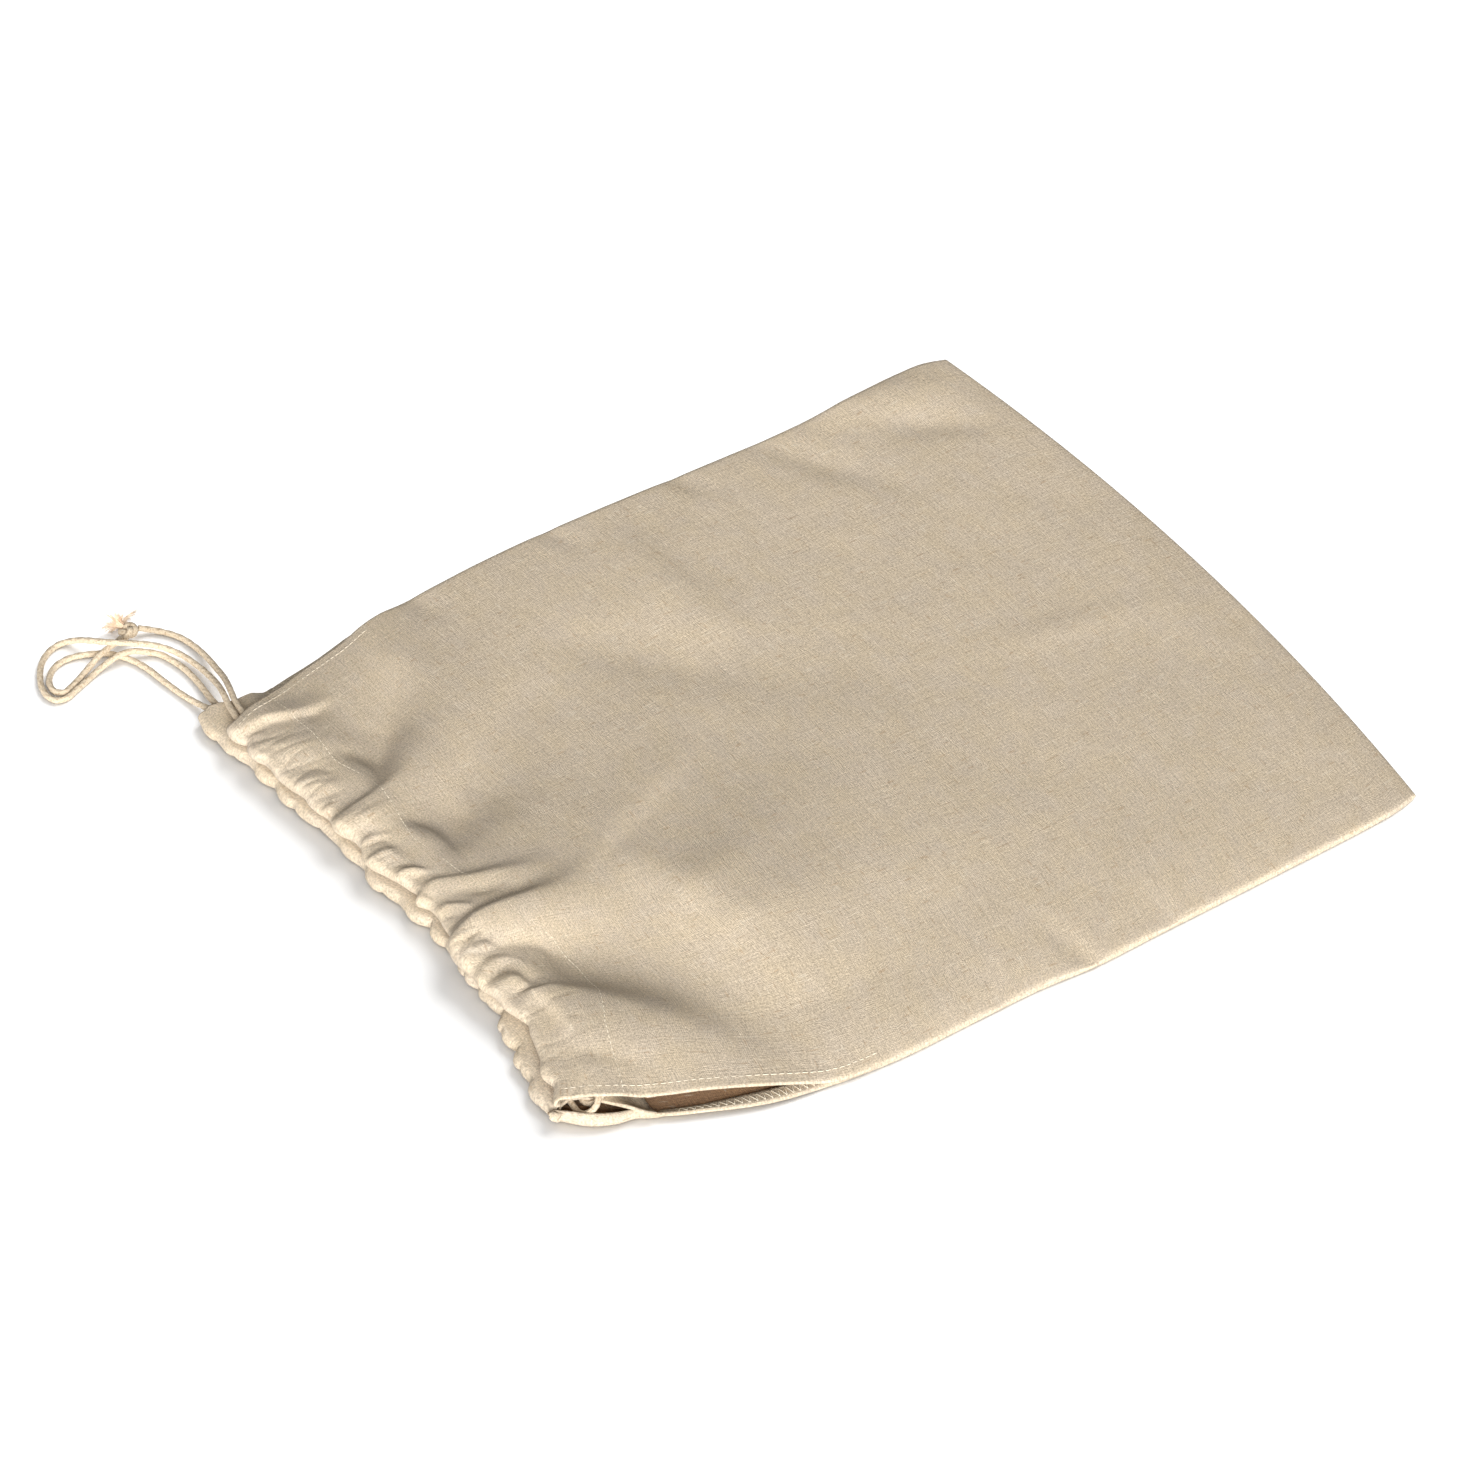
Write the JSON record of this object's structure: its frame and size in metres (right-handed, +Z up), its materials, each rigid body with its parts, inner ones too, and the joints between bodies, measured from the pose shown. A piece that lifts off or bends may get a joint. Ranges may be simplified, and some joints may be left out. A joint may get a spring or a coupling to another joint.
{
  "type": "drawstring bread bag",
  "caption": "Flat linen drawstring bag for bread, folded and seamed from plain cloth, its mouth half gathered on a round cord that ends in a knot and a frayed tuft.",
  "frame": {"origin": "on the surface the bag lies on, below the middle of the cloth's bounding box", "axes": "+X from the gathered mouth to the closed end, +Y across the bag from the front side to the side where the cord comes out, +Z up from the surface"},
  "size_m": [0.4738, 0.4137, 0.0207],
  "materials": {
    "linen": "plain weave, natural and unbleached, matte",
    "cord_braid": "braided cotton, matte",
    "cord_fibre": "loose frayed fibre, matte"
  },
  "bodies": {
    "root": {"front_panel": "linen", "back_panel": "linen", "cord_round_outer": "cord_braid", "cord_round_inner": "cord_braid", "cord_end_upper": "cord_braid", "cord_end_lower": "cord_braid", "cord_loop": "cord_braid", "cord_knot": "cord_braid", "cord_fray": "cord_fibre"}
  },
  "joints": []
}
